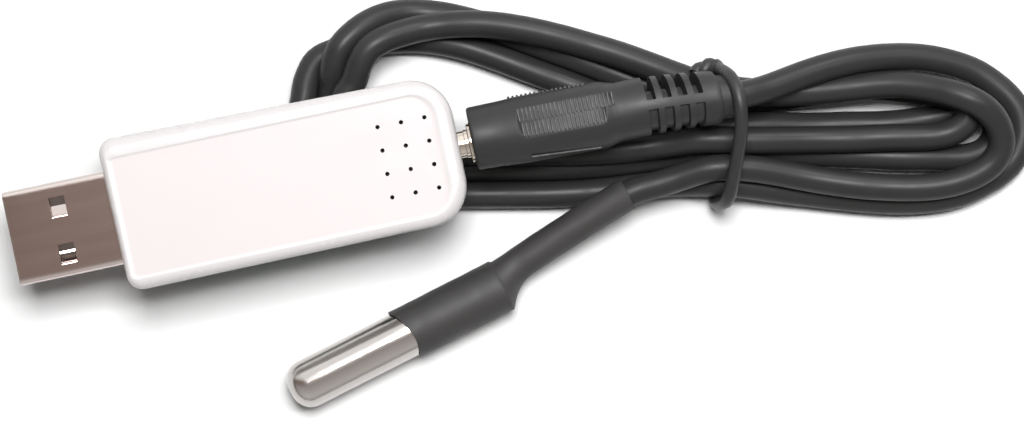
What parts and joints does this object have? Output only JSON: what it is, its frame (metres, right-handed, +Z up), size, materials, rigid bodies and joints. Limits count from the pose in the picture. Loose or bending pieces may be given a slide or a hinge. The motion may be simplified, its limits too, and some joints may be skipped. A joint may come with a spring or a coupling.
{
  "type": "usb temperature sensor with jack-plug probe",
  "caption": "White USB stick with vent holes in its case, and a steel temperature probe on a tied-up cord that plugs into the stick's far end.",
  "frame": {"origin": "on the ground, under the middle of the box round the stick and the probe", "axes": "+X along the stick from the USB plug towards the jack plug, +Z up"},
  "size_m": [0.1289, 0.0493, 0.0163],
  "materials": {
    "white_plastic": "glossy white",
    "usb_steel": "satin",
    "nickel": "bright nickel plate",
    "contact_gold": "gold plate",
    "tongue_plastic": "plain",
    "board_green": "solder mask",
    "chip_black": "plain",
    "crystal_can": "satin",
    "capacitor_brown": "plain",
    "resistor_black": "plain",
    "socket_black": "plain",
    "ring_black": "plain",
    "moulding_grey": "satin",
    "cord_grey": "satin",
    "tie_grey": "satin",
    "probe_steel": "polished",
    "sleeve_grey": "matte",
    "potting_grey": "plain"
  },
  "bodies": {
    "root": {"upper_case": "white_plastic", "lower_case": "white_plastic", "usb_plug_shell": "usb_steel", "usb_insulator": "tongue_plastic", "circuit_board": "board_green", "controller_chip": "chip_black", "crystal": "crystal_can", "voltage_regulator": "chip_black", "air_temperature_chip": "chip_black", "jack_socket": "socket_black", "socket_tip_spring": "contact_gold", "socket_ring_spring": "contact_gold", "socket_sleeve_spring": "contact_gold", "jack_plug_sleeve": "nickel", "jack_ring": "nickel", "jack_tip": "nickel", "jack_insulator_1": "ring_black", "jack_insulator_2": "ring_black", "plug_moulding": "moulding_grey", "cord_plug_lead": "cord_grey", "cord_hank": "cord_grey", "cord_probe_lead": "cord_grey", "cable_tie": "tie_grey", "probe_tube": "probe_steel", "heat_shrink_sleeve": "sleeve_grey", "sensor_chip": "chip_black", "potting_plug": "potting_grey", "usb_contact_1": "contact_gold", "usb_contact_2": "contact_gold", "usb_contact_3": "contact_gold", "usb_contact_4": "contact_gold", "capacitor_1": "capacitor_brown", "capacitor_2": "capacitor_brown", "capacitor_3": "capacitor_brown", "resistor_1": "resistor_black", "resistor_2": "resistor_black", "resistor_3": "resistor_black", "sensor_lead_1": "nickel", "sensor_lead_2": "nickel", "sensor_lead_3": "nickel"}
  },
  "joints": []
}
